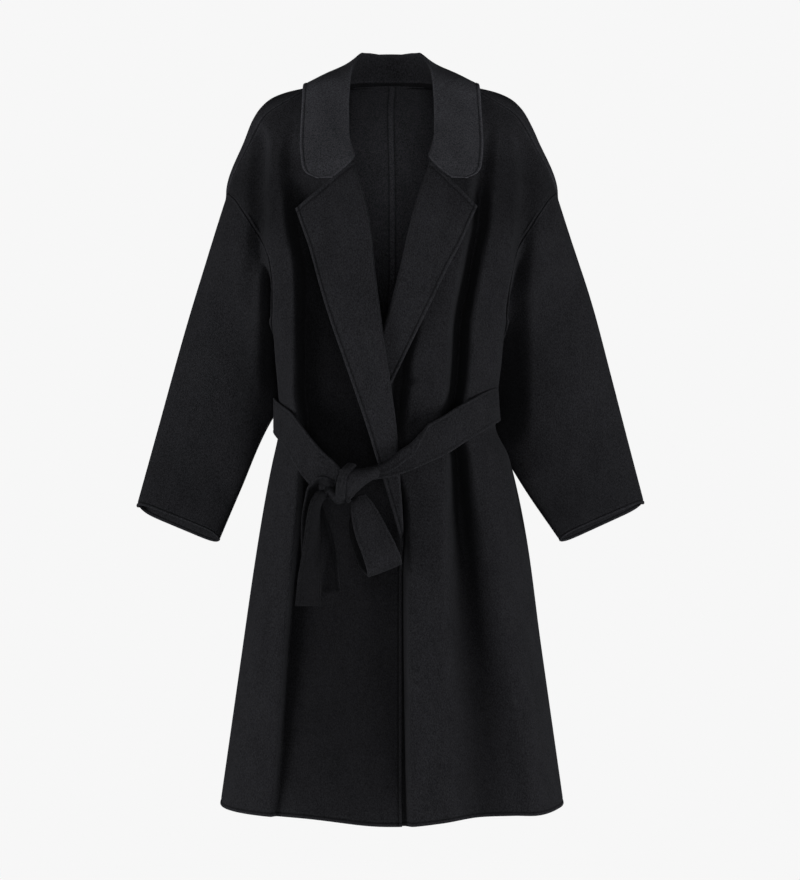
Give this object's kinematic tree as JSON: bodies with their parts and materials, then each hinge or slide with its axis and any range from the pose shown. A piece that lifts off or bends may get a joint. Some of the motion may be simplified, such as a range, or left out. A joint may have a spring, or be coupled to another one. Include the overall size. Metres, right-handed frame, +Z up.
{
  "type": "wool coat",
  "caption": "A black belted wrap coat in brushed wool, filled out with no wearer: notch lapels, dropped shoulders, wide sleeves and a tied belt.",
  "frame": {"origin": "between the two neck points, where the shoulder seams meet the collar and the wearer holds the coat up", "axes": "Z up along the coat's length, the front of the coat faces -Y, and +X is the wearer's left"},
  "size_m": [0.7692, 0.3664, 1.141],
  "materials": {
    "black_wool": "matte brushed wool"
  },
  "bodies": {
    "root": {"front_right": "black_wool", "front_left": "black_wool", "back_right": "black_wool", "back_left": "black_wool", "sleeve_right": "black_wool", "sleeve_left": "black_wool", "collar": "black_wool", "belt_around": "black_wool", "belt_knot": "black_wool", "belt_loop": "black_wool", "belt_tail_front": "black_wool", "belt_tail_back": "black_wool"}
  },
  "joints": []
}
